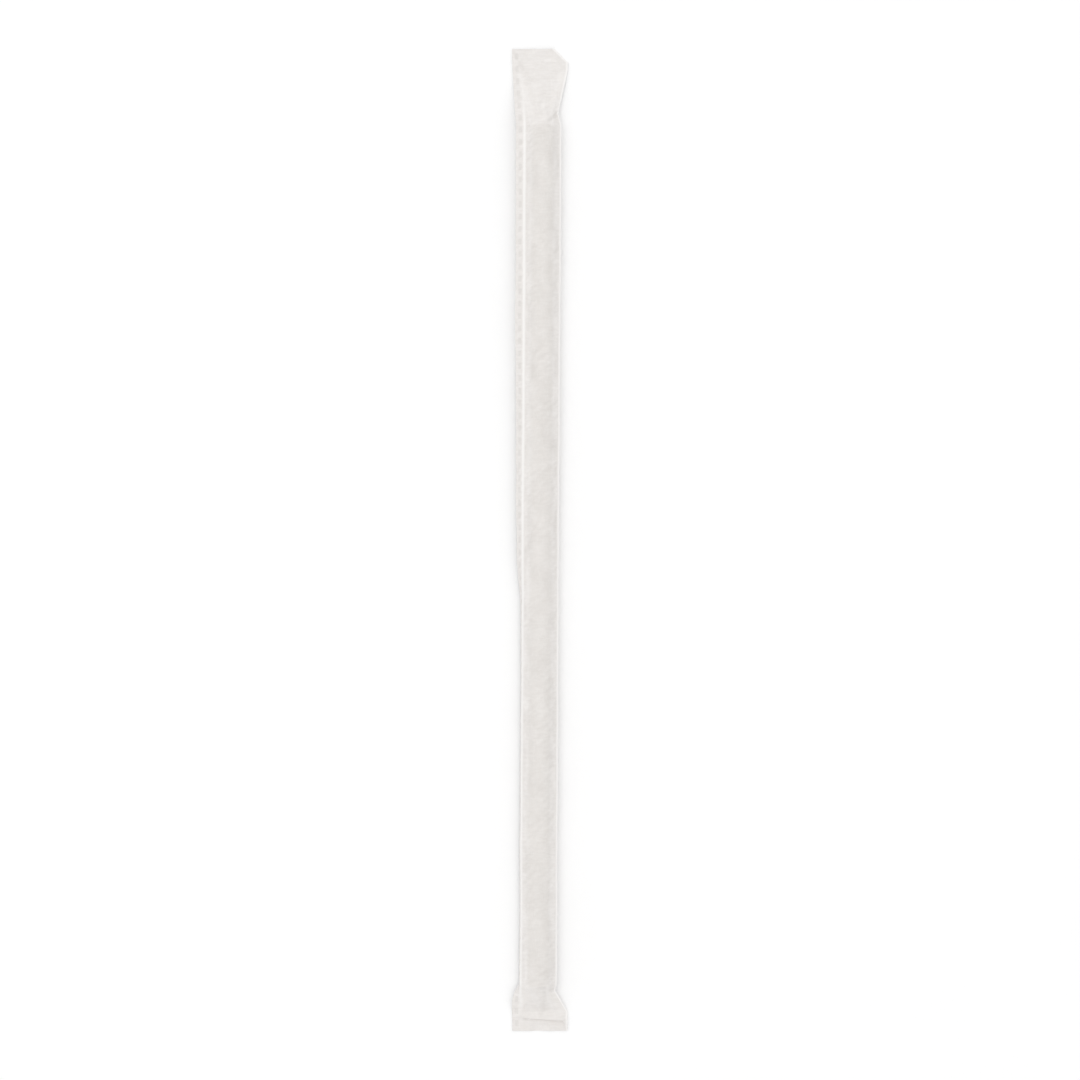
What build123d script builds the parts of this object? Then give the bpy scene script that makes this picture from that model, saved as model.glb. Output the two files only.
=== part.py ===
"""A paper-wrapped drinking straw, lying flat, in millimetres.

The straw is sealed in a sleeve of thin white paper that can't be seen into, so
the whole pack is one closed solid with the sleeve's outer form. The paper runs
round the straw, is folded along one side, and is sealed to itself in a flat
seam along the other. Past each end of the straw it is pressed flat, and one of
these two ends is longer than the other.

Frame: +Y runs along the straw to the long end, +X to the folded side, +Z up.
The surface that the straw lies on is z = 0, and x = y = 0 is the pack's middle.
"""
from build123d import *
from math import acos, atan2, cos, hypot, radians, sin, sqrt, tan
import os

# The straw inside: the commonest size, 6 mm by 7 3/4 inches.
straw_length = 197.0
straw_diameter = 6.0

# The sleeve round it. The slack is how far each side edge stands out past the
# straw, and the draw-in is how far the seam moves in from the flat ends' edge.
ply = 0.15
sleeve_slack = 0.95
seam_width = 2.1
seam_draw_in = 0.8

# The straw lies a little askew in the sleeve: its short end is this much nearer
# the seam side, and by there the seam has turned down by this angle beside it.
straw_skew = 1.1
seam_hang = 78.0

# The long end: past the straw the paper closes, then lies flat for the last
# stretch to its cut edge, where the corner on the folded side is turned under.
long_overhang = 18.0
long_flat_length = 4.1
turned_corner = 3.1

# The short end: the upper ply is cut askew, and the lower one has a lip past it.
short_overhang = 8.3
short_flat_length = 1.8
lip_length = 2.5
cut_angle = 3.0

# Just past each end of the straw the folded side pinches in, and at the long
# end the paper has by then come down by this share of its whole fall.
pinch_distance = 3.1
pinch_depth = 0.5
pinch_fall = 0.34

# The sleeve's section round the straw: two straight runs from each side edge
# touch the straw at a knee, and the paper follows the straw between the knees.
outer_radius = straw_diameter / 2 + ply
half_width = outer_radius + sleeve_slack
edge_distance = hypot(half_width, ply)
knee_angle = atan2(ply, half_width) + acos(outer_radius / edge_distance)
knee_x = outer_radius * cos(knee_angle)
knee_rise = outer_radius * sin(knee_angle)
side_run = sqrt(edge_distance**2 - outer_radius**2)
over_straw = outer_radius * (radians(180) - 2 * knee_angle)

# The same paper pressed flat, which can't stretch or shrink.
flat_width = seam_width + 2 * side_run + over_straw
flat_thickness = 2 * ply
side_x = flat_width / 2
straw_x = -side_x + seam_draw_in + seam_width + half_width
cut_drop = flat_width * tan(radians(cut_angle))

# Places along the pack, from the long end's edge to the lip's.
pack_length = long_overhang + straw_length + short_overhang + lip_length
long_edge_y = pack_length / 2
long_flat_y = long_edge_y - long_flat_length
straw_long_y = long_edge_y - long_overhang
straw_short_y = straw_long_y - straw_length
lip_edge_y = -pack_length / 2
short_edge_y = lip_edge_y + lip_length
short_flat_y = short_edge_y + short_flat_length


def mix(start, end, share):
    """The point that lies this share of the way from start to end."""
    return tuple(a + (b - a) * share for a, b in zip(start, end))


def share_along(y):
    """How far y lies along the straw, from 0 at its long end to 1 at its short end."""
    return min(max((straw_long_y - y) / straw_length, 0), 1)


def crossing_points(y):
    """Where the upper and the lower ply bend at y, as (x, z), round the straw and pressed flat.

    Each list runs from the seam's free edge by the seam's root, the knee where
    the paper meets the straw, the crown and the other knee to the folded side.
    The steps between them are as long in all four.
    """
    axis_x = straw_x - straw_skew * share_along(y)
    hang = radians(seam_hang) * share_along(y)
    seam_out = seam_width * cos(hang)
    seam_down = seam_width * sin(hang)
    offsets = (-half_width - seam_out, -half_width, -knee_x, 0, knee_x, half_width)
    middles = (outer_radius - seam_down,) + 5 * (outer_radius,)
    rises = (ply, ply, knee_rise, outer_radius, knee_rise, ply)
    round_upper = [(axis_x + dx, z + dz) for dx, z, dz in zip(offsets, middles, rises)]
    round_lower = [(axis_x + dx, z - dz) for dx, z, dz in zip(offsets, middles, rises)]
    steps = (0, seam_width, side_run, over_straw / 2, over_straw / 2, side_run)
    flat_x = [-side_x + sum(steps[: count + 1]) for count in range(len(steps))]
    flat_upper = [(x, flat_thickness) for x in flat_x]
    flat_lower = [(x, 0) for x in flat_x]
    return round_upper, round_lower, flat_upper, flat_lower


def cover_straw(points, flatness):
    """Draw the stretch of one ply that lies over the straw, from knee to knee."""
    if flatness < 1:
        ThreePointArc(points[2], points[3], points[4])
    else:
        Line(points[2], points[4])


def sleeve_section(y, flatness, pinch=0.0):
    """The pack's outline across the straw at y, as a sketch.

    flatness runs from 0, where the paper is round the straw, to 1, where it is
    pressed flat. pinch draws the folded side in towards the straw.
    """
    round_upper, round_lower, flat_upper, flat_lower = crossing_points(y)
    upper = [mix(a, b, flatness) for a, b in zip(round_upper, flat_upper)]
    lower = [mix(a, b, flatness) for a, b in zip(round_lower, flat_lower)]
    upper[5] = (upper[5][0] - pinch, upper[5][1])
    lower[5] = (lower[5][0] - pinch, lower[5][1])
    with BuildSketch(Plane.XZ.offset(-y)) as section:
        with BuildLine():
            Polyline(upper[0], upper[1], upper[2])
            cover_straw(upper, flatness)
            Polyline(upper[4], upper[5], lower[5], lower[4])
            cover_straw(lower, flatness)
            Polyline(lower[2], lower[1], lower[0], upper[0])
        make_face()
    return section.sketch


def pressed_sheet(*corners):
    """A stretch of flat paper with these (x, y) corners, as a sketch on the surface."""
    with BuildSketch() as sheet:
        with BuildLine():
            Polyline(*corners, close=True)
        make_face()
    return sheet.sketch


with BuildPart() as wrapped_straw:
    # The long middle stretch, where the sleeve is drawn over the straw.
    straw_middle_y = (straw_long_y + straw_short_y) / 2
    stretch = [sleeve_section(y, 0) for y in (straw_long_y, straw_middle_y, straw_short_y)]
    loft(stretch, ruled=True)

    # The long end closes from round to flat, by way of the pinch.
    long_end = [
        sleeve_section(straw_long_y, 0),
        sleeve_section(straw_long_y + pinch_distance, pinch_fall, pinch_depth),
        sleeve_section(long_flat_y, 1),
    ]
    loft(long_end, ruled=True)

    # The short end closes the same way, at an even slope.
    even_fall = pinch_distance / (straw_short_y - short_flat_y)
    short_end = [
        sleeve_section(straw_short_y, 0),
        sleeve_section(straw_short_y - pinch_distance, even_fall, pinch_depth),
        sleeve_section(short_flat_y, 1),
    ]
    loft(short_end, ruled=True)

    # The long end's flat strip, both plies, as far as the fold across its corner.
    fold_outer = (side_x, long_edge_y - turned_corner)
    fold_inner = (side_x - turned_corner, long_edge_y)
    long_strip = pressed_sheet(
        (-side_x, long_flat_y),
        (side_x, long_flat_y),
        fold_outer,
        fold_inner,
        (-side_x, long_edge_y),
    )
    extrude(long_strip, amount=flat_thickness)

    # The corner lies turned under the strip, which is four plies thick there.
    ear_tip = (side_x - turned_corner, long_edge_y - turned_corner)
    extrude(pressed_sheet(fold_outer, fold_inner, ear_tip), amount=2 * flat_thickness)

    # The short end's flat strip, both plies, as far as the upper one's skewed cut.
    short_strip = pressed_sheet(
        (-side_x, short_flat_y),
        (side_x, short_flat_y),
        (side_x, short_edge_y),
        (-side_x, short_edge_y + cut_drop),
    )
    extrude(short_strip, amount=flat_thickness)

    # The lower ply alone goes on past it, as the lip.
    lower_sheet = pressed_sheet(
        (-side_x, short_flat_y),
        (side_x, short_flat_y),
        (side_x, lip_edge_y),
        (-side_x, lip_edge_y),
    )
    extrude(lower_sheet, amount=ply)

os.makedirs("parts", exist_ok=True)
wrapped_straw.part.label = "wrapped_straw"
export_step(wrapped_straw.part, "parts/wrapped_straw.step")
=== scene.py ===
"""A paper-wrapped drinking straw on a pale table: the looks of its creped sleeve.

The sleeve is one web of thin paper. A point on it has a web place (s, y): s runs
across the flat web from the seam's free edge to the folded side, and y runs
along the straw. Lengths are in millimetres until put() turns them into metres.
"""

import math

import bmesh
import bpy
import numpy as np
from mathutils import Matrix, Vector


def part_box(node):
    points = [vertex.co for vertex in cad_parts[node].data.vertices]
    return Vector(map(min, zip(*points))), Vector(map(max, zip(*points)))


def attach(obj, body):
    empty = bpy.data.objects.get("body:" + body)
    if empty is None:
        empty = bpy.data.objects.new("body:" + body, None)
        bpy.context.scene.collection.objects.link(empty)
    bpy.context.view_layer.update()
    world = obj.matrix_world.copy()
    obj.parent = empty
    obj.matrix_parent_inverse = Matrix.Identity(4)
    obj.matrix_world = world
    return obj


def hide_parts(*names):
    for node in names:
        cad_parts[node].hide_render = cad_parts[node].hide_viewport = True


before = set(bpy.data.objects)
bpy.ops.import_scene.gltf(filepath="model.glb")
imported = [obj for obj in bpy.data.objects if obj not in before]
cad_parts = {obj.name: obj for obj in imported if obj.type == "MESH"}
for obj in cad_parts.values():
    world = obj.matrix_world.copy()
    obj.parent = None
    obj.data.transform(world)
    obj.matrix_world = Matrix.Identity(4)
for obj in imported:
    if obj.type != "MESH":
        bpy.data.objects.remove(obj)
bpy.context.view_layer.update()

MM = 0.001
lowest, highest = (np.array(point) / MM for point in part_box("wrapped_straw"))

# The paper. The lower ply is a little thinner inside the slits at the ends.
PLY = 0.06
INNER_PLY = 0.05

# The solid's box gives the flat ends' half width, both cut edges and the height.
SIDE_S = highest[0]
LONG_EDGE = highest[1]
LIP_EDGE = lowest[1]
RADIUS = (highest[2] - lowest[2]) / 2 - PLY
AXIS_Z = (highest[2] + lowest[2]) / 2

# The sleeve's own sizes. The half width is from the straw's axis to either side
# edge of the round part. The skew is how much nearer the seam side the straw's
# short end lies than its long end.
STRAW_LENGTH = 197.0
LONG_OVERHANG = 18.0
SEAM_WIDTH = 2.1
SEAM_DRAW_IN = 0.8
STRAW_SKEW = 1.1
HALF_WIDTH = 4.1
LONG_FLAT = 4.1
SHORT_FLAT = 1.8
LIP = 2.5
TURNED_CORNER = 3.1
PINCH_DISTANCE = 3.1

# The finer sizes of its edges, and how low the paper may come to the table.
CUT_SLOPE = 0.052
RAGGED = 0.04
SLIT_DEPTH = 0.7
FOLD_BULGE = 0.07
CORNER_FOLD_RADIUS = 0.10
REST_HEIGHT = 0.01

# How far the plies stand apart at their cut edges, and how high each kind of
# relief stands out of a ply.
SHORT_GAPE = 0.85
LONG_GAPE = 0.16
CREPE_HEIGHT = 0.026
CRINKLE_HEIGHT = 0.052
DENT_HEIGHT = 0.045
BUCKLE_HEIGHT = 0.06
PLEAT_HEIGHT = 0.07

ROOT_S = -SIDE_S + SEAM_WIDTH
STRAW_X = ROOT_S + SEAM_DRAW_IN + HALF_WIDTH
STRAW_LONG = LONG_EDGE - LONG_OVERHANG
STRAW_SHORT = STRAW_LONG - STRAW_LENGTH
LONG_FLAT_Y = LONG_EDGE - LONG_FLAT
SHORT_EDGE = LIP_EDGE + LIP
SHORT_FLAT_Y = SHORT_EDGE + SHORT_FLAT

# The round section: a run from each side edge touches the straw at a knee. The
# pull is how straight the runs are drawn, from 0, sagging, to 1, straight.
KNEE = math.acos(RADIUS / HALF_WIDTH)
SIDE_RUN = math.sqrt(HALF_WIDTH**2 - RADIUS**2)
OVER_STRAW = RADIUS * (math.pi - 2 * KNEE)
GIRTH = 2 * SIDE_RUN + OVER_STRAW
SIDE_RUN_PULL = 0.7

# The seam is pressed in a row of short dashes along its middle.
DASH_PITCH = 2.85
DASH_DEPTH = 0.12
DASH_BAND = 0.6

UPPER, LOWER = 1, -1
NOISE_SIZE = 512
SHARP_ANGLE = 50

# The folds that were pressed into each ply's closing ends: from (s, y), to (s, y),
# how far each spreads to either side, and how high it stands out of the ply.
NEAR_KNEE = ROOT_S + 2.6
FAR_KNEE = SIDE_S - 2.6
FOLDS = {
    UPPER: [
        ((FAR_KNEE, STRAW_LONG + 0.3), (SIDE_S - 1.2, LONG_FLAT_Y - 1.5), 0.9, 0.16),
        ((NEAR_KNEE, STRAW_LONG + 0.3), (ROOT_S - 0.6, LONG_FLAT_Y - 2.0), 0.9, 0.14),
        ((SIDE_S, STRAW_LONG + PINCH_DISTANCE), (2.4, STRAW_LONG + 1.0), 0.8, -0.26),
        ((SIDE_S, STRAW_LONG + PINCH_DISTANCE), (3.1, STRAW_LONG + 10.5), 0.8, 0.12),
        ((3.4, LONG_EDGE - 2.8), (-0.6, LONG_EDGE - 2.5), 0.5, 0.07),
        ((-5.9, LONG_EDGE - 1.0), (-2.0, LONG_EDGE - 7.5), 0.6, -0.06),
        ((NEAR_KNEE, STRAW_SHORT - 0.2), (ROOT_S - 0.9, SHORT_FLAT_Y), 0.9, 0.15),
        ((FAR_KNEE, STRAW_SHORT - 0.2), (SIDE_S - 1.0, SHORT_FLAT_Y + 0.6), 0.9, 0.15),
        ((SIDE_S - 0.2, STRAW_SHORT - 1.2), (2.2, STRAW_SHORT - 0.4), 0.6, -0.10),
        ((2.6, STRAW_SHORT - 1.6), (0.4, SHORT_FLAT_Y - 0.6), 0.7, -0.08),
    ],
    LOWER: [
        ((FAR_KNEE, STRAW_LONG + 0.3), (SIDE_S - 1.6, LONG_FLAT_Y - 2.5), 0.9, 0.10),
        ((NEAR_KNEE, STRAW_LONG + 0.3), (ROOT_S + 0.4, LONG_FLAT_Y - 1.0), 0.9, 0.10),
        ((SIDE_S, STRAW_LONG + PINCH_DISTANCE), (3.0, STRAW_LONG + 8.0), 0.8, 0.10),
        ((FAR_KNEE, STRAW_SHORT - 0.2), (SIDE_S - 1.4, SHORT_FLAT_Y), 0.8, 0.08),
        ((NEAR_KNEE, STRAW_SHORT - 0.2), (ROOT_S, SHORT_FLAT_Y), 0.8, 0.08),
    ],
}


# ---------------------------------------------------------------- shaping tools


def ease(t):
    """0 below t = 0, 1 above t = 1, and the smooth cubic 3t^2 - 2t^3 between."""
    t = np.clip(t, 0, 1)
    return t * t * (3 - 2 * t)


def bent_line(d, places, values, rounding):
    """Straight stretches between the given places, with their bends rounded off.

    It is the mean of the plain broken line at nine places, up to rounding away.
    """
    shifts = rounding * np.linspace(-1, 1, 9)
    return sum(np.interp(d + shift, places, values) for shift in shifts) / len(shifts)


def mix(a, b, share):
    """The value that lies this share of the way from a to b."""
    return a + (b - a) * share


def waver(u, v, seed):
    """Gradient noise, from about -1 to 1.

    Every whole-number corner of (u, v) has a slope in a random direction. At a
    point, the heights that the four nearest slopes give there are blended by
    the smooth quintic weight 1 - 10t^3 + 15t^4 - 6t^5 of the distance in u and in v.
    """
    turn = np.random.default_rng(seed).uniform(0, 2 * np.pi, (NOISE_SIZE, NOISE_SIZE))
    i, j = np.floor(u).astype(int), np.floor(v).astype(int)
    height = 0
    for di in (0, 1):
        for dj in (0, 1):
            du, dv = u - i - di, v - j - dj
            direction = turn[(i + di) % NOISE_SIZE, (j + dj) % NOISE_SIZE]
            slope = np.cos(direction) * du + np.sin(direction) * dv
            tu, tv = np.abs(du), np.abs(dv)
            weight_u = 1 - tu**3 * (10 - 15 * tu + 6 * tu * tu)
            weight_v = 1 - tv**3 * (10 - 15 * tv + 6 * tv * tv)
            height = height + slope * weight_u * weight_v
    return 1.5 * height


def waver_along(u, seed):
    """The same noise on one line, which goes through the middle of its cells."""
    return waver(u, 0 * u + 0.5, seed)


def creases(u, v, seed):
    """Sharp-topped folds: 1 where the noise changes sign, falling away on both sides."""
    return 1 - np.minimum(1, 2.2 * np.abs(waver(u, v, seed)))


def fold_line(s, y, start, end, half_width):
    """A straight fold: 1 at its start, a third of that at its end, and 0 at half_width to either side.

    share is the nearest place on the fold, as a share of its length, and apart
    is the distance to that place. The height falls evenly with both.
    """
    run = np.subtract(end, start)
    share = np.clip(((s - start[0]) * run[0] + (y - start[1]) * run[1]) / (run @ run), 0, 1)
    apart = np.hypot(s - start[0] - share * run[0], y - start[1] - share * run[1])
    return np.clip(1 - apart / half_width, 0, 1) * (1 - 0.67 * share)


# ---------------------------------------------------------------- the sleeve's form


def closing(y):
    """How far the paper has closed from round (0) to pressed flat (1) at y.

    Past the straw's long end the height left is (1 - t)^1.65, steep at the rim
    and easing out, and past its short end (1 - t)^1.2, an almost even slope.
    """
    long_left = 1 - np.clip((y - STRAW_LONG) / (LONG_FLAT_Y - STRAW_LONG), 0, 1)
    short_left = 1 - np.clip((STRAW_SHORT - y) / (STRAW_SHORT - SHORT_FLAT_Y), 0, 1)
    return 1 - long_left**1.65 * short_left**1.2


def spreading(s, y):
    """How far the paper has spread from its drawn-in width (0) to its flat width (1).

    The seam side opens evenly. The folded side first pinches in, below 0, and then
    opens along a straight line. Across the straw the share runs from one to the other.
    """
    past_long, past_short = y - STRAW_LONG, STRAW_SHORT - y
    seam_long = bent_line(past_long, (0.5, 13.9), (0, 1), 0.8)
    seam_short = bent_line(past_short, (0.3, 7.6), (0, 1), 0.6)
    fold_long = bent_line(past_long, (0, PINCH_DISTANCE, 13.2), (0, -0.44, 1), 0.22)
    fold_short = bent_line(past_short, (0, 1.1, 6.3), (0, -0.14, 1), 0.3)
    return mix(seam_long + seam_short, fold_long + fold_short, ease((s - STRAW_X + 2) / 4))


def round_section(s):
    """The pocket's outline round the straw, as (x, rise) from its axis.

    The web's place s becomes a distance along the outline: up the side run to
    the knee, over the straw along its circle, and down the other side run. The
    side runs sag a little: their rise is a mix of the share t and its square.
    """
    along = (s - ROOT_S) / (SIDE_S - ROOT_S) * GIRTH
    far = GIRTH - along
    knee_x, knee_rise = RADIUS * math.cos(KNEE), RADIUS * math.sin(KNEE)
    angle = math.pi - KNEE - (along - SIDE_RUN) / RADIUS
    up, down = along / SIDE_RUN, far / SIDE_RUN
    near_side, far_side = along < SIDE_RUN, far < SIDE_RUN
    x = np.select(
        [near_side, far_side],
        [mix(-HALF_WIDTH, -knee_x, up), mix(HALF_WIDTH, knee_x, down)],
        RADIUS * np.cos(angle),
    )
    near_rise, far_rise = (knee_rise * mix(t * t, t, SIDE_RUN_PULL) for t in (up, down))
    rise = np.select([near_side, far_side], [near_rise, far_rise], RADIUS * np.sin(angle))
    return x, rise


def seam_lean(y):
    """The angle, in radians, by which the seam leans down at y.

    It leans gently at the long end and more towards the middle, and a little
    past the middle it tucks down until it all but hangs.
    """
    lean = bent_line(y, (-16, -6, 20, 90), (1.46, 0.85, 0.62, 0.2), 4.0)
    loose = ease((y + 22) / 16)
    slow, quick = waver_along(y / 23, 11), waver_along(y / 7, 12)
    return lean + mix(0.05, 0.16, loose) * slow + mix(0.04, 0.1, loose) * quick


def axis_x(y):
    """The straw's middle at y: its short end lies nearer the seam side than its long end."""
    return STRAW_X - STRAW_SKEW * np.clip((STRAW_LONG - y) / STRAW_LENGTH, 0, 1)


def tucked(y):
    """1 where the seam hangs down beside the straw, and 0 where it stands out or is pressed flat."""
    return ease((seam_lean(y) - 0.95) / 0.35) * (1 - closing(y))


def side_sway(s, y):
    """A slow sideways waver of the two side edges, which fades out where the straw holds the paper."""
    seam_side = ease((ROOT_S + SIDE_RUN - s) / SIDE_RUN)
    fold_side = ease((s - SIDE_S + SIDE_RUN) / SIDE_RUN)
    seam_sway = 0.10 * waver_along(y / 31, 21) + 0.05 * waver_along(y / 9, 22)
    fold_sway = 0.13 * waver_along(y / 27, 23) + 0.06 * waver_along(y / 8, 24)
    return seam_side * seam_sway + fold_side * fold_sway


def lift(s, y):
    """How high the pressed ends ride above the table: a slight curl, creases and the turned corner."""
    past = np.maximum(y - STRAW_LONG, STRAW_SHORT - y)
    curl = 0.10 + 0.16 * waver(s / 5.5, y / 9, 31) + 0.22 * ease((past - 6) / 12) * (0.5 + s / SIDE_S / 2)
    crinkle = 0.11 * creases(s / 4.2 + y / 9, y / 5 - s / 7, 32)
    from_side, from_edge = s - SIDE_S + TURNED_CORNER, y - LONG_EDGE + TURNED_CORNER
    on_corner = ease((from_side + 0.6) / 0.8) * ease((from_edge + 0.6) / 0.8)
    return np.maximum(curl + crinkle, 0.02) + 0.16 * on_corner


def gape(s, y):
    """How far the upper ply stands off the lower one near its cut edges, between the seam and the fold."""
    apart = ease((s - ROOT_S) / 1.2) * ease((SIDE_S - s) / 1.4) * (0.8 + 0.6 * waver_along(s / 3.1, 33))
    near_short = ease((SHORT_EDGE + 3.0 - y) / 3.6)
    near_long = ease((y - LONG_EDGE + 3) / 3.2)
    return apart * (SHORT_GAPE * near_short + LONG_GAPE * near_long)


def drape(s, y, side):
    """The smooth form of one ply's outer face, as (x, y, z).

    Across the pocket it is the round section, mixed towards the flat web as the
    ends close and spread. The seam is a strip that leaves the pocket's near edge
    at its lean, waves along its length, and is pressed down in a row of dashes.
    Each ply is moved by its own thickness, straight up or down on the pocket and
    turned by the lean on the seam.
    """
    flat, spread = closing(y), spreading(s, y)
    in_pocket = s >= ROOT_S
    x_round, rise = round_section(np.maximum(s, ROOT_S))
    out = np.maximum(ROOT_S - s, 0)
    lean = seam_lean(y) * (1 - flat)
    turned = lean * ease(out / 0.4)
    x_seam = -HALF_WIDTH - out * np.cos(lean) - side * PLY * np.sin(turned)
    x = axis_x(y) + np.where(in_pocket, x_round, x_seam)
    x = mix(x, s, spread) + side_sway(s, y)
    z_round = AXIS_Z + side * (rise + PLY * np.cos(turned)) - out * np.sin(lean)
    z_flat = lift(s, y) + PLY + side * PLY
    z = mix(z_round, z_flat, flat) - DASH_DEPTH * dashes(s, y)
    if side == UPPER:
        z = z + gape(s, y)
    return np.stack([x, y + 0 * s, z], axis=-1)


def dashes(s, y):
    """1 in the middle of each pressed dash of the seam, and 0 between and beside them."""
    off_middle = np.abs(ROOT_S - s - SEAM_WIDTH / 2)
    across = ease(1.5 - 1.5 * off_middle / DASH_BAND)
    along = ease(0.5 + 1.3 * np.cos(2 * np.pi * y / DASH_PITCH))
    return across * along


def ply_relief(s, y, side):
    """The small relief of one ply by itself, along its outward normal.

    It adds up noise of several grains. Crepe is fine ripples that run across the
    straw, and crinkles run aslant in patches. Dents are broad and shallow, and
    buckles stand along the free runs beside the straw. Pleats and folds belong to
    the closing ends. Each is stretched by its own lengths in s and y.
    """
    flat = closing(y)
    shift = 40 * side
    bend = 0.5 * waver(s / 2.4, y / 2.4, 41)
    crepe = waver(s / 2.6 + shift, y / 0.62 + bend, 42) + 0.6 * waver(s / 1.1 + shift, y / 0.45, 43)
    slant_s, slant_y = 0.8 * s + 0.6 * y, 0.8 * y - 0.6 * s
    patch = ease(0.55 + 1.2 * waver(s / 6 + shift, y / 9, 49))
    crinkles = patch * waver(slant_s / 2.6 + bend, slant_y / 0.9 + shift, 50)
    dents = waver(s / 3.2 + shift, y / 6.5, 44)
    buckles = waver(s / 1.5 + shift, y / 4.0, 45)
    off_straw = ease((np.abs(s - STRAW_X - 0.4) - 2.2) / 1.2)
    pleats = creases(s / 1.5 + 0.5 * waver(s / 3, y / 4, 46), y / 13 + shift, 47)
    closing_zone = 4 * flat * (1 - flat)
    in_pocket = ease((s - ROOT_S) / 0.7) * ease((SIDE_S - s) / 0.3)
    loose = DENT_HEIGHT * dents + BUCKLE_HEIGHT * off_straw * buckles * (1 - flat)
    loose = loose + PLEAT_HEIGHT * pleats * closing_zone
    wander = 0.35 * waver(s / 1.7, y / 1.9, 48)
    folds = sum(
        height * fold_line(s + wander, y + wander, start, end, half_width)
        for start, end, half_width, height in FOLDS[side]
    )
    fine = (CREPE_HEIGHT * crepe + CRINKLE_HEIGHT * crinkles) * mix(1, 0.6, flat)
    return fine + loose * in_pocket * mix(1, 0.3, flat) + folds


def relief(s, y, side):
    """A ply's relief. Where the plies are sealed or pressed together the lower one follows the upper."""
    upper = ply_relief(s, y, UPPER)
    if side == UPPER:
        return upper
    together = np.maximum(ease((ROOT_S + 0.5 - s) / 0.7), ease((closing(y) - 0.7) / 0.25))
    return mix(ply_relief(s, y, LOWER), -upper, together)


def paper(s, y, side):
    """One ply's outer face: its smooth form, moved by the relief along the form's normal.

    The normal is the cross product of two short steps along the form, one across
    the web and one along the straw. Nothing goes below the resting height.
    """
    step = 0.02
    here = drape(s, y, side)
    across = drape(s + step, y, side) - here
    along = drape(s, y + step, side) - here
    normal = side * np.cross(across, along)
    normal /= np.linalg.norm(normal, axis=-1, keepdims=True)
    face = here + relief(s, y, side)[..., None] * normal
    face[..., 2] = np.maximum(face[..., 2], REST_HEIGHT)
    return face


# ---------------------------------------------------------------- outlines of the cut ends


def long_cut(s):
    """The long end's cut edge as y, straight but a little ragged, and slanted along the turned corner."""
    slant = np.maximum(s - (SIDE_S - TURNED_CORNER), 0)
    return LONG_EDGE - RAGGED + RAGGED * waver_along(s / 0.7, 51) - slant


def upper_cut(s):
    """The short end's upper cut edge as y: skewed, and swept down to the lip where it rounds the fold."""
    skewed = SHORT_EDGE + CUT_SLOPE * (SIDE_S - s) + 0.14 * waver_along(s / 2.1, 52)
    return mix(skewed, lip_cut(s), ease((s - SIDE_S + 1.3) / 1.3))


def lip_cut(s):
    """The lip's cut edge as y, nearly straight."""
    return LIP_EDGE + 0.06 + 0.05 * waver_along(s / 1.3, 53)


def fit_rows(rows, s, side):
    """The rows' places along the straw, drawn to the cut edges over the last stretch at each end."""
    y = rows[:, None] + 0 * s[None, :]
    near_long = ease((y - LONG_FLAT_Y + 2) / (LONG_FLAT + 2))
    near_short = ease((SHORT_EDGE + 6 - y) / (LIP + 6))
    short_cut = upper_cut(s) if side == UPPER else lip_cut(s)
    y = y + near_long * (long_cut(s) - LONG_EDGE)[None, :]
    return y + near_short * (short_cut - LIP_EDGE)[None, :]


# ---------------------------------------------------------------- meshes


def grid_quads(first, rows, columns):
    """The quads of a grid of vertices that are numbered row by row from first."""
    at = first + np.arange(rows * columns).reshape(rows, columns)
    return np.stack([at[:-1, :-1], at[:-1, 1:], at[1:, 1:], at[1:, :-1]], axis=-1).reshape(-1, 4)


def put(name, grids, values, material):
    """Makes one closed mesh of grids that share their border points.

    Each grid is an array (rows, columns, 3), and values holds, for each named
    attribute, one array (rows, columns) or (rows, columns, 3) for each grid. They are
    kept at the corners of the faces, so that two grids don't mix theirs where they meet.
    """
    points = np.concatenate([grid.reshape(-1, 3) for grid in grids]) * MM
    faces, first = [], 0
    for grid in grids:
        faces.append(grid_quads(first, *grid.shape[:2]))
        first += grid.shape[0] * grid.shape[1]
    faces = np.concatenate(faces)
    mesh = bpy.data.meshes.new(name)
    mesh.from_pydata(points, [], faces)
    for attribute, parts in values.items():
        width = 3 if parts[0].ndim == 3 else 1
        kind, key = ("FLOAT_VECTOR", "vector") if width == 3 else ("FLOAT", "value")
        layer = mesh.attributes.new(attribute, kind, "CORNER")
        at_points = np.concatenate([part.reshape(-1, width) for part in parts])
        layer.data.foreach_set(key, at_points[faces.ravel()].ravel().astype(np.float32))
    work = bmesh.new()
    work.from_mesh(mesh)
    bmesh.ops.remove_doubles(work, verts=work.verts, dist=1e-7)
    bmesh.ops.recalc_face_normals(work, faces=work.faces)
    work.to_mesh(mesh)
    work.free()
    mesh.shade_smooth()
    mesh.set_sharp_from_angle(angle=math.radians(SHARP_ANGLE))
    mesh.materials.append(material)
    piece = bpy.data.objects.new(name, mesh)
    bpy.context.scene.collection.objects.link(piece)
    return piece


def web_columns():
    """The columns' places s across the web, closer together at the seam and towards the fold."""
    seam = np.linspace(-SIDE_S, ROOT_S, 11)
    near_run = np.linspace(ROOT_S, ROOT_S + SIDE_RUN, 10)[1:]
    cover = np.linspace(ROOT_S + SIDE_RUN, SIDE_S - SIDE_RUN, 20)[1:]
    far_run = SIDE_S - SIDE_RUN * (1 - np.linspace(0, 1, 11)[1:]) ** 1.25
    return np.concatenate([seam, near_run, cover, far_run])


def web_rows():
    """The rows' places y along the straw, closer together past its two ends."""
    short = np.linspace(LIP_EDGE, STRAW_SHORT + 3, 90)
    middle = np.linspace(STRAW_SHORT + 3, STRAW_LONG - 3, 740)[1:]
    long = np.linspace(STRAW_LONG - 3, LONG_EDGE, 120)[1:]
    return np.concatenate([short, middle, long])


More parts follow.
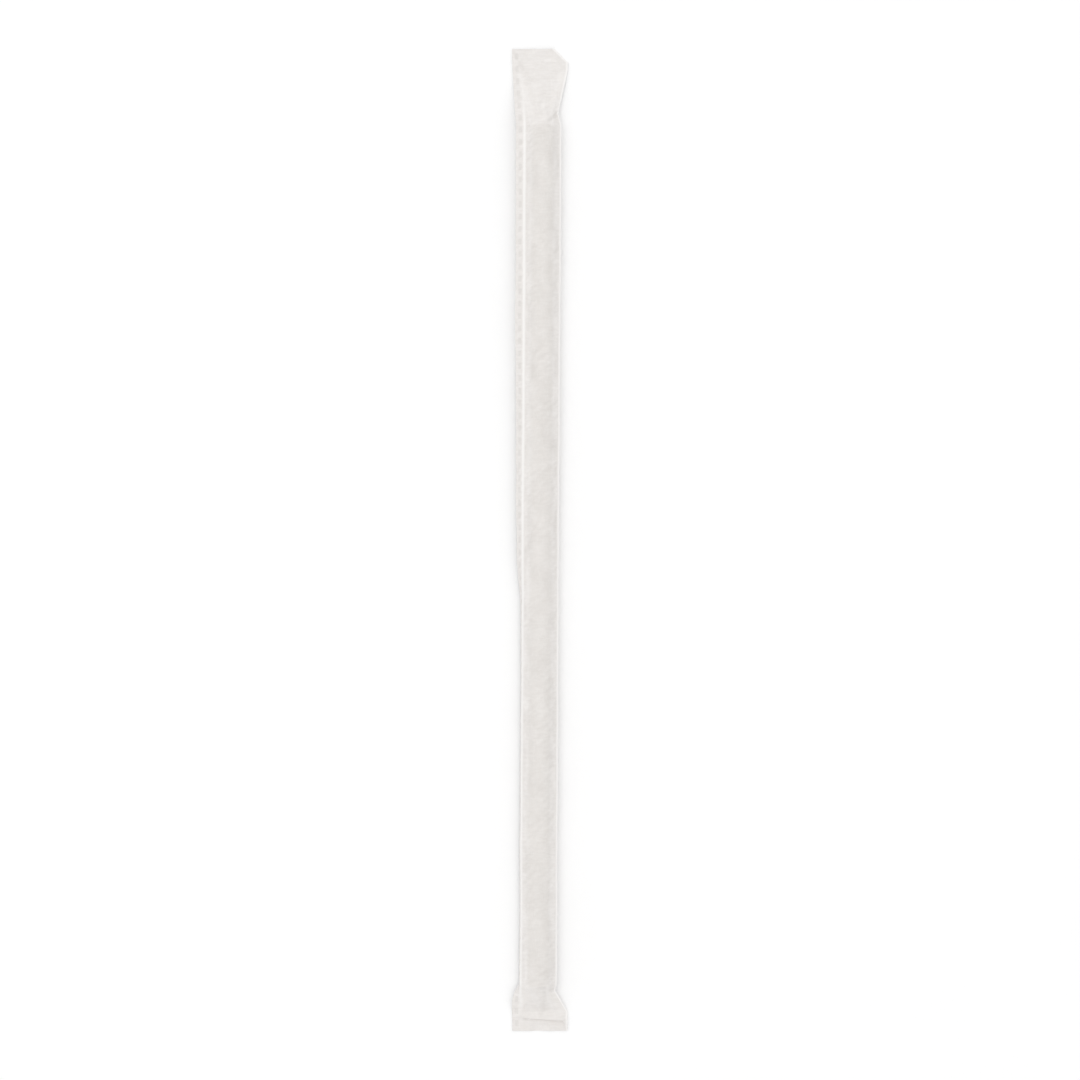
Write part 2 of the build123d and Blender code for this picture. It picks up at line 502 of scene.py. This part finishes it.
def over_straw(s, y):
    """1 where the straw lies right behind the paper, and 0 at the sides and past the straw's ends. The
    material greys the paper there as a painted shade of the straw's hollow.
    """
    across = ease((3.4 - np.abs(s - (ROOT_S + SIDE_S) / 2)) / 1.5)
    along = ease((STRAW_LONG - y + 0.25) / 0.5) * ease((y - STRAW_SHORT + 0.25) / 0.5)
    return across * along


def folded(s, y):
    """1 on the side fold, on the corner's fold and along the seam's root, and 0 half a millimetre off.

    The root's band is a little wider where the seam hangs, and ends with the round form. The material
    paints all these bands whiter, partly as a painted highlight.
    """
    on_side = ease((s - SIDE_S + 0.55) / 0.4)
    on_root = ease(1.2 - np.abs(s - ROOT_S) / mix(0.45, 0.62, tucked(y))) * (1 - closing(y))
    off_corner = (SIDE_S - s + LONG_EDGE - y - TURNED_CORNER) / math.sqrt(2)
    on_corner = ease(1.2 - off_corner / 0.45)
    return np.maximum(np.maximum(on_side, on_root), on_corner)


def web_place(s, y, side):
    """The web place as a vector in centimetres, with the two plies far apart, for the paper's pattern."""
    return np.stack([s / 10 + 0 * y, y / 10 + 0 * s, side * 5.0 + 0 * y + 0 * s], axis=-1)


def make_sleeve(material):
    """The whole sleeve as one closed skin: both plies, the side edges and the slit at each end."""
    s, rows = web_columns(), web_rows()
    grids = []
    values = {"web": [], "over_straw": [], "pressed": [], "folded": [], "raised": []}

    def keep(grid, place_s, place_y, side):
        """Adds a grid, with the looks that belong to its web places."""
        grids.append(grid)
        values["web"].append(web_place(place_s, place_y, side))
        values["over_straw"].append(over_straw(place_s, place_y))
        values["pressed"].append(dashes(place_s, place_y))
        values["folded"].append(folded(place_s, place_y))
        # The relief's height, which the material uses to paint shade where the paper lies low.
        values["raised"].append(relief(place_s, place_y, side) / 0.1)

    plies = {}
    for side in (UPPER, LOWER):
        y = fit_rows(rows, s, side)
        plies[side] = paper(s[None, :] + 0 * y, y, side)
        keep(plies[side], s[None, :] + 0 * y, y, side)

    # Each side edge is a narrow strip from ply to ply, rounded out at the fold.
    side_edges = ((0, 0.0), (-1, FOLD_BULGE))
    y = fit_rows(rows, s, LOWER)
    for column, bulge in side_edges:
        top, bottom = plies[UPPER][:, column], plies[LOWER][:, column]
        middle = (top + bottom) / 2 + [bulge, 0, 0]
        edge = np.stack([top, middle, bottom], axis=1)
        keep(edge, s[column] + 0 * edge[..., 0], y[:, column, None] + 0 * edge[..., 0], UPPER)

    # Each end is closed a little way in, so that a slit shows between the plies:
    # from the upper ply's edge down to the lower ply's inner face, and out along it.
    for end, inward in ((-1, -SLIT_DEPTH), (0, SLIT_DEPTH)):
        top, bottom = plies[UPPER][end], plies[LOWER][end]
        sheet_rows = [top, top - [0, 0, INNER_PLY]]
        for share in np.linspace(0, 1, 19):
            row = paper(s, mix(top[:, 1] + inward, bottom[:, 1], share), LOWER)
            row[:, 2] += INNER_PLY
            sheet_rows.append(row)
        sheet_rows.append(bottom)
        sheet = np.stack(sheet_rows)
        middle = (top + bottom) / 2
        for column, bulge in side_edges:
            sheet[1:-1, column] = middle[column] + [bulge, 0, 0]
        keep(sheet, s[None, :] + 0 * sheet[..., 0], sheet[..., 1], LOWER)

    return put("paper_sleeve", grids, values, material)


def make_turned_corner(material):
    """The corner that is turned under the long end.

    Its section across the fold is a flat loop: half a turn round the fold, in
    along the table for as far as the triangle reaches there, and back under the
    strip. The reach grows evenly from both ends of the fold to its middle.
    """
    u = np.linspace(0, 1, 41)
    reach = TURNED_CORNER / math.sqrt(2) * (1 - np.abs(2 * u - 1)) * 0.97 + 0.03
    start = np.array([SIDE_S - TURNED_CORNER, LONG_EDGE - RAGGED])
    finish = np.array([SIDE_S, LONG_EDGE - RAGGED - TURNED_CORNER])
    fold = mix(start, finish, u[:, None])
    outward = np.array([1, 1]) / math.sqrt(2)
    top_z = paper(fold[:, 0], fold[:, 1], UPPER)[:, 2]
    under_z = 0 * u + 1.5 * REST_HEIGHT
    rows = []
    for angle in np.linspace(0, np.pi, 9):
        place = fold + outward * CORNER_FOLD_RADIUS * math.sin(angle)
        rows.append(np.column_stack([place, mix(top_z, under_z, (1 - math.cos(angle)) / 2)]))
    turned_rows = len(rows)
    for share in np.linspace(0.12, 1, 9):
        rows.append(np.column_stack([fold - outward * (reach * share)[:, None], under_z]))
    for share in np.linspace(1, 0, 9):
        rows.append(np.column_stack([fold - outward * (reach * share)[:, None], under_z + 2 * PLY]))
    rows.append(rows[0])
    loop = np.stack(rows)

    # Each end of the loop is closed by a fan to the middle of its ring.
    grids = [loop]
    for ring in (loop[:, 0], loop[:, -1]):
        grids.append(np.stack([ring, np.broadcast_to(ring.mean(axis=0), ring.shape)]))
    plain = [0 * grid[..., 0] for grid in grids]
    on_fold = [0 * grid[..., 0] for grid in grids]
    on_fold[0][:turned_rows] = 1
    values = {
        "web": [web_place(grid[..., 0], grid[..., 1], UPPER) for grid in grids],
        "over_straw": plain,
        "pressed": plain,
        "folded": on_fold,
        "raised": plain,
    }
    return put("turned_corner", grids, values, material)


# ---------------------------------------------------------------- materials


def shader(name):
    """A material with its shader, and short ways to add a node and to link two sockets."""
    material = bpy.data.materials.new(name)
    material.use_nodes = True
    tree = material.node_tree
    surface = tree.nodes["Principled BSDF"]

    def add(kind, **settings):
        node = tree.nodes.new("ShaderNode" + kind)
        for key, value in settings.items():
            setattr(node, key, value)
        return node

    return material, surface, add, tree.links.new


def stretched_noise(add, link, place, stretch, detail, distortion=0.0):
    """Noise whose grains are 1 / stretch centimetres in s, y and depth."""
    scaled = add("VectorMath", operation="MULTIPLY")
    scaled.inputs[1].default_value = stretch
    link(place, scaled.inputs[0])
    noise = add("TexNoise")
    noise.inputs["Scale"].default_value = 1.0
    noise.inputs["Detail"].default_value = detail
    noise.inputs["Roughness"].default_value = 0.55
    noise.inputs["Distortion"].default_value = distortion
    link(scaled.outputs[0], noise.inputs["Vector"])
    return noise.outputs["Fac"]


def tinted(add, link, factor, first, second):
    """A colour that runs from first to second as factor runs from 0 to 1.

    first and second are each a plain colour or another node's socket.
    """
    blend = add("Mix", data_type="RGBA")
    link(factor, blend.inputs["Factor"])
    ends = [socket for socket in blend.inputs if socket.type == "RGBA"]
    for socket, colour in zip(ends, (first, second)):
        if isinstance(colour, tuple):
            socket.default_value = colour
        else:
            link(colour, socket)
    return next(socket for socket in blend.outputs if socket.type == "RGBA")


def spread_range(add, link, value, low_in, high_in, low_out, high_out):
    """value taken from one range to another, and held at its ends."""
    node = add("MapRange")
    link(value, node.inputs["Value"])
    node.inputs["From Min"].default_value = low_in
    node.inputs["From Max"].default_value = high_in
    node.inputs["To Min"].default_value = low_out
    node.inputs["To Max"].default_value = high_out
    return node.outputs["Result"]


def raised(add, link, height, distance, under=None):
    """A bump that stands up by this distance in metres as height goes from 0 to 1, on the one under it."""
    bump = add("Bump")
    bump.inputs["Strength"].default_value = 1.0
    bump.inputs["Distance"].default_value = distance
    link(height, bump.inputs["Height"])
    if under is not None:
        link(under, bump.inputs["Normal"])
    return bump.outputs["Normal"]


def creped_paper():
    """Thin white uncoated paper: cloudy, fibrous and finely creped. Its colour holds painted shade: greyer
    where the straw's hollow lies behind, and darker along the crepe and in the relief's valleys. Its folds
    are whiter, partly as a painted highlight.
    """
    material, surface, add, link = shader("creped_paper")
    place = add("Attribute", attribute_name="web").outputs["Vector"]
    behind = add("Attribute", attribute_name="over_straw").outputs["Fac"]
    pressed = add("Attribute", attribute_name="pressed").outputs["Fac"]
    folded_edge = add("Attribute", attribute_name="folded").outputs["Fac"]
    ridge = add("Attribute", attribute_name="raised").outputs["Fac"]

    clouds = stretched_noise(add, link, place, (5, 3, 1), 3)
    fibres = stretched_noise(add, link, place, (34, 9, 1), 5, 0.6)
    grain = stretched_noise(add, link, place, (70, 60, 1), 3)
    crepe = stretched_noise(add, link, place, (4.5, 17, 1), 4, 0.9)

    cloud_share = spread_range(add, link, clouds, 0.3, 0.7, 0.0, 1.0)
    # Over the straw the paper is greyer: a painted shade of the straw's hollow seen through the thin
    # paper.
    two_ply = tinted(add, link, cloud_share, (0.862, 0.832, 0.805, 1), (0.892, 0.866, 0.846, 1))
    one_ply_hollow_shade = tinted(add, link, cloud_share, (0.800, 0.769, 0.738, 1), (0.836, 0.807, 0.780, 1))
    base = tinted(add, link, behind, two_ply, one_ply_hollow_shade)
    # Painted shade: the paper is darkened along the crepe ripples.
    crepe_painted_shade_share = spread_range(add, link, crepe, 0.35, 0.65, 0.0, 0.16)
    base = tinted(add, link, crepe_painted_shade_share, base, (0.62, 0.59, 0.565, 1))
    # Painted shade: the paper is darker where its relief lies low.
    valley_painted_shade_share = spread_range(add, link, ridge, -0.8, 0.5, 0.34, 0.0)
    base = tinted(add, link, valley_painted_shade_share, base, (0.58, 0.55, 0.52, 1))
    # Whiter along the folds: partly fibres whitened at the crease, partly a painted highlight.
    fold_whitening_and_highlight_share = spread_range(add, link, folded_edge, 0.0, 1.0, 0.0, 0.90)
    base = tinted(add, link, fold_whitening_and_highlight_share, base, (0.950, 0.935, 0.918, 1))
    fibre_share = spread_range(add, link, fibres, 0.5, 0.72, 0.0, 0.16)
    base = tinted(add, link, fibre_share, base, (0.92, 0.905, 0.89, 1))
    pressed_share = spread_range(add, link, pressed, 0.2, 0.9, 0.0, 0.50)
    base = tinted(add, link, pressed_share, base, (0.70, 0.675, 0.65, 1))
    link(base, surface.inputs["Base Color"])

    rough = spread_range(add, link, grain, 0.3, 0.7, 0.74, 0.90)
    smoothing = spread_range(add, link, pressed, 0.0, 1.0, 0.0, 0.22)
    smoothed = add("Math", operation="SUBTRACT")
    link(rough, smoothed.inputs[0])
    link(smoothing, smoothed.inputs[1])
    link(smoothed.outputs[0], surface.inputs["Roughness"])

    normal = raised(add, link, crepe, 0.000060)
    normal = raised(add, link, fibres, 0.000016, normal)
    normal = raised(add, link, grain, 0.000008, normal)
    link(normal, surface.inputs["Normal"])

    surface.inputs["Specular IOR Level"].default_value = 0.35
    surface.inputs["Sheen Weight"].default_value = 0.08
    surface.inputs["Sheen Roughness"].default_value = 0.5
    return material


def table_top():
    """A matt pale table that the camera sees a little brighter, so that it reads as white."""
    material, surface, add, link = shader("pale_table")
    place = add("TexCoord").outputs["Object"]
    mottle = add("TexNoise")
    mottle.inputs["Scale"].default_value = 30.0
    link(place, mottle.inputs["Vector"])
    base = tinted(add, link, mottle.outputs["Fac"], (0.92, 0.92, 0.92, 1), (0.94, 0.94, 0.94, 1))
    link(base, surface.inputs["Base Color"])
    surface.inputs["Roughness"].default_value = 0.9
    surface.inputs["Specular IOR Level"].default_value = 0.2
    path = add("LightPath")
    seen = add("Math", operation="ADD", use_clamp=True)
    link(path.outputs["Is Camera Ray"], seen.inputs[0])
    link(path.outputs["Is Glossy Ray"], seen.inputs[1])
    glow = spread_range(add, link, seen.outputs[0], 0, 1, 0.0, 0.07)
    surface.inputs["Emission Color"].default_value = (1, 1, 1, 1)
    link(glow, surface.inputs["Emission Strength"])
    return material


# ---------------------------------------------------------------- the stage


def make_table(material):
    """A flat table top of 4 metres, a hair under the sleeve. Lengths here are in metres."""
    half, top = 2.0, -0.00003
    corners = [(-half, -half, top), (half, -half, top), (half, half, top), (-half, half, top)]
    mesh = bpy.data.meshes.new("table")
    mesh.from_pydata(corners, [], [(0, 1, 2, 3)])
    mesh.materials.append(material)
    table = bpy.data.objects.new("table", mesh)
    bpy.context.scene.collection.objects.link(table)


def make_camera():
    """A long lens straight above, with the straw upright and a tenth of its length to spare."""
    lens, margin = 120.0, 1.10
    camera = bpy.data.cameras.new("camera")
    camera.lens = lens
    camera.clip_start = 0.01
    holder = bpy.data.objects.new("camera", camera)
    reach = (LONG_EDGE - LIP_EDGE) * MM * margin / 2
    holder.location = (0, 0, reach * lens / (camera.sensor_width / 2))
    bpy.context.scene.collection.objects.link(holder)
    bpy.context.scene.camera = holder


def make_lights():
    """A broad soft box above, a little to the seam side, and an even pale surround.

    The camera and mirror-like rays see the surround at full white.
    """
    box = bpy.data.lights.new("soft_box", "AREA")
    box.shape = "RECTANGLE"
    box.size, box.size_y = 1.3, 1.6
    box.energy = 9.0
    holder = bpy.data.objects.new("soft_box", box)
    holder.location = (-0.30, 0.30, 1.8)
    aim = -holder.location
    holder.rotation_euler = aim.to_track_quat("-Z", "Y").to_euler()
    bpy.context.scene.collection.objects.link(holder)

    world = bpy.data.worlds.new("surround")
    bpy.context.scene.world = world
    world.use_nodes = True
    nodes, links = world.node_tree.nodes, world.node_tree.links
    sky = nodes["Background"]
    sky.inputs["Color"].default_value = (1, 1, 1, 1)
    path = nodes.new("ShaderNodeLightPath")
    level = nodes.new("ShaderNodeMapRange")
    level.inputs["To Min"].default_value = 0.80
    level.inputs["To Max"].default_value = 1.0
    seen = nodes.new("ShaderNodeMath")
    seen.operation = "ADD"
    seen.use_clamp = True
    links.new(path.outputs["Is Camera Ray"], seen.inputs[0])
    links.new(path.outputs["Is Glossy Ray"], seen.inputs[1])
    links.new(seen.outputs[0], level.inputs["Value"])
    links.new(level.outputs["Result"], sky.inputs["Strength"])


make_camera()
make_lights()
make_table(table_top())
bpy.context.scene.view_settings.view_transform = "Standard"

paper_look = creped_paper()
for piece in (make_sleeve(paper_look), make_turned_corner(paper_look)):
    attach(piece, "root")
    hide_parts("wrapped_straw")
